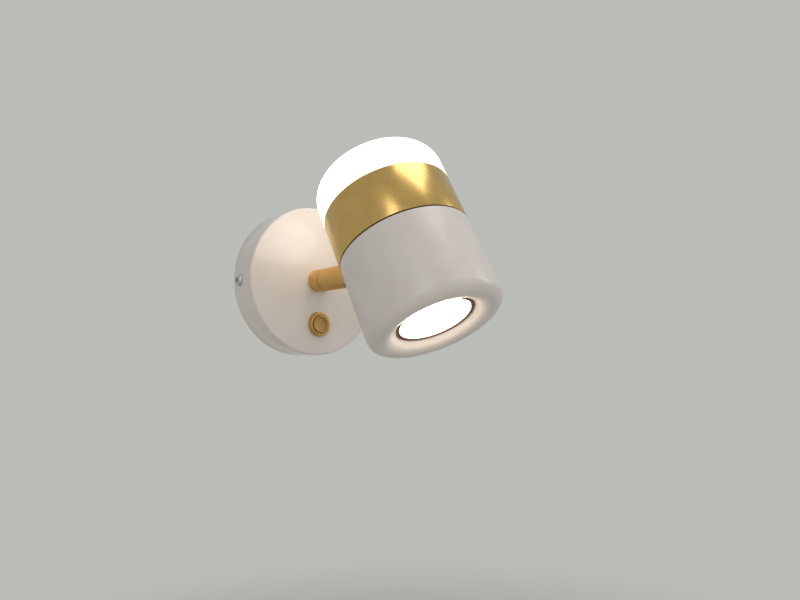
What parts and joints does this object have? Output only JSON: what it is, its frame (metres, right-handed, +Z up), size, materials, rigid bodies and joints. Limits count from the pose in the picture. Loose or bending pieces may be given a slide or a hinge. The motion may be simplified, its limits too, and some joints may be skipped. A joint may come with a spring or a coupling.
{
  "type": "adjustable wall lamp",
  "caption": "Wall lamp with a round canopy and push switch, a short swivelling arm and a tilting cylindrical head with an opal top, a brass band and a spotlight in the bottom.",
  "frame": {"origin": "centre of the wall face: the cable hole of the wall bracket, on the plane of the wall", "axes": "+Y into the wall along the arm, -Y out into the room, +Z up, +X to the right of someone who faces the wall"},
  "size_m": [0.1064, 0.1748, 0.1278],
  "materials": {
    "zinc_steel": "satin",
    "white_paint": "satin gloss",
    "satin_brass": "satin",
    "dark_plastic": "matt",
    "pale_plastic": "matt",
    "brown_insulation": "semi-gloss",
    "earth_insulation": "semi-gloss",
    "red_insulation": "semi-gloss",
    "bare_aluminium": "machined",
    "opal_glow": "frosted, lit from inside",
    "lens_glow": "frosted, lit from inside",
    "white_board": "matt",
    "yellow_chip": "semi-gloss"
  },
  "bodies": {
    "base": {"wall_bracket": "zinc_steel", "earth_screw": "satin_brass", "canopy": "white_paint", "canopy_screws": "zinc_steel", "arm_bush": "satin_brass", "bush_washer": "zinc_steel", "bush_nut": "zinc_steel", "switch_bezel": "satin_brass", "switch_nut": "zinc_steel", "switch_housing": "dark_plastic", "switch_terminals": "satin_brass", "terminal_block": "pale_plastic", "terminal_screws": "zinc_steel", "led_driver": "pale_plastic", "driver_pad": "dark_plastic", "supply_leads": "brown_insulation", "earth_lead": "earth_insulation", "output_leads": "red_insulation"},
    "button": {"switch_button": "satin_brass"},
    "arm": {"arm_spindle": "satin_brass", "stop_pin": "zinc_steel", "retaining_ring": "zinc_steel", "wave_washer": "zinc_steel", "swivel_washer": "dark_plastic", "arm_tube": "satin_brass", "arm_fork": "satin_brass", "tilt_screw": "satin_brass", "tilt_nut": "satin_brass", "friction_washers": "dark_plastic", "arm_leads": "red_insulation"},
    "head": {"hinge_bracket": "zinc_steel", "hinge_screws": "zinc_steel", "head_core": "bare_aluminium", "brass_band": "satin_brass", "shadow_ring": "dark_plastic", "top_diffuser": "opal_glow", "halo_board": "white_board", "halo_chips": "yellow_chip", "halo_screws": "zinc_steel", "head_shell": "white_paint", "spot_heatsink": "bare_aluminium", "heatsink_screws": "zinc_steel", "spot_board": "white_board", "spot_chip": "yellow_chip", "spot_reflector": "bare_aluminium", "spot_lens": "lens_glow", "lens_ring": "dark_plastic", "head_leads": "red_insulation"}
  },
  "joints": [
    {"name": "arm_swivel", "type": "hinge", "parent": "base", "child": "arm", "pos_m": [0, -0.034, 0], "axis": [0, 1, 0], "range_deg": [-165, 165]},
    {"name": "head_tilt", "type": "hinge", "parent": "arm", "child": "head", "pos_m": [0, -0.0665, 0], "axis": [-1, 0, 0], "range_deg": [-58.5, 46.5]},
    {"name": "button_press", "type": "slide", "parent": "base", "child": "button", "axis": [0, 1, 0], "range_m": [0, 0.0015], "stiffness_N_per_m": 500, "springref_m": -0.001}
  ]
}
